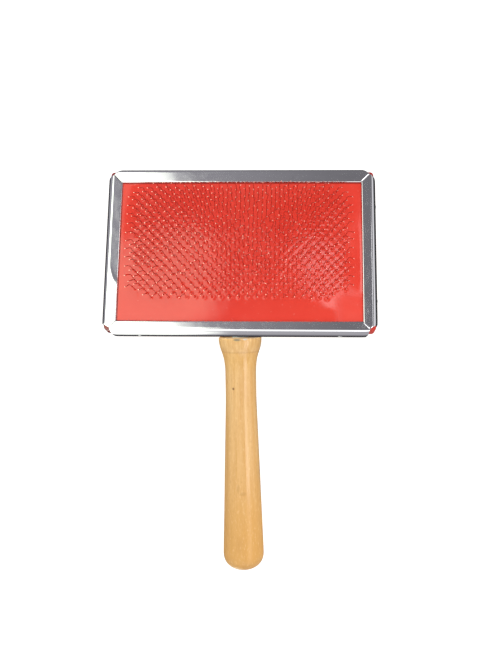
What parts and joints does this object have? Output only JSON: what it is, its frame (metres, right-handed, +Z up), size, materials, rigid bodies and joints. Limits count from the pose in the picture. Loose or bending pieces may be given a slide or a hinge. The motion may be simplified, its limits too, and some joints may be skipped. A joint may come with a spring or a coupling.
{
  "type": "slicker brush",
  "caption": "Slicker brush for pets: knee-bent wire pins in a red rubber-faced card on a padded wood board, plated frame strips, turned wood handle angled back.",
  "frame": {"origin": "middle of the bounding box's base: the table that the brush lies on, pins up", "axes": "+Z up out of the table, the handle points along -Y, X runs across the head"},
  "size_m": [0.1212, 0.1804, 0.0386],
  "materials": {
    "board_wood": "lacquered",
    "pad_foam": "soft foam, matte",
    "red_rubber": "smooth, satin, cloth-backed",
    "pin_wire": "drawn wire, bright",
    "plated_sheet": "bright plated, fine scratches",
    "tack_steel": "bright",
    "tang_steel": "plated",
    "screw_steel": "zinc plated",
    "handle_wood": "clear gloss lacquer"
  },
  "bodies": {
    "root": {"head_board": "board_wood", "cushion_pad": "pad_foam", "card_cloth": "red_rubber", "pin_row_01": "pin_wire", "pin_row_02": "pin_wire", "pin_row_03": "pin_wire", "pin_row_04": "pin_wire", "pin_row_05": "pin_wire", "pin_row_06": "pin_wire", "pin_row_07": "pin_wire", "pin_row_08": "pin_wire", "pin_row_09": "pin_wire", "pin_row_10": "pin_wire", "pin_row_11": "pin_wire", "pin_row_12": "pin_wire", "pin_row_13": "pin_wire", "pin_row_14": "pin_wire", "pin_row_15": "pin_wire", "pin_row_16": "pin_wire", "pin_row_17": "pin_wire", "pin_row_18": "pin_wire", "pin_row_19": "pin_wire", "pin_row_20": "pin_wire", "pin_row_21": "pin_wire", "pin_row_22": "pin_wire", "pin_row_23": "pin_wire", "pin_row_24": "pin_wire", "pin_row_25": "pin_wire", "pin_row_26": "pin_wire", "frame_rail_far": "plated_sheet", "frame_rail_near": "plated_sheet", "frame_rail_left": "plated_sheet", "frame_rail_right": "plated_sheet", "rail_tack_far_1": "tack_steel", "rail_tack_far_2": "tack_steel", "rail_tack_far_3": "tack_steel", "rail_tack_near_1": "tack_steel", "rail_tack_near_2": "tack_steel", "rail_tack_left_1": "tack_steel", "rail_tack_left_2": "tack_steel", "rail_tack_right_1": "tack_steel", "rail_tack_right_2": "tack_steel", "tang": "tang_steel", "tang_screw_1": "screw_steel", "tang_screw_2": "screw_steel", "tang_screw_3": "screw_steel", "handle": "handle_wood"}
  },
  "joints": []
}
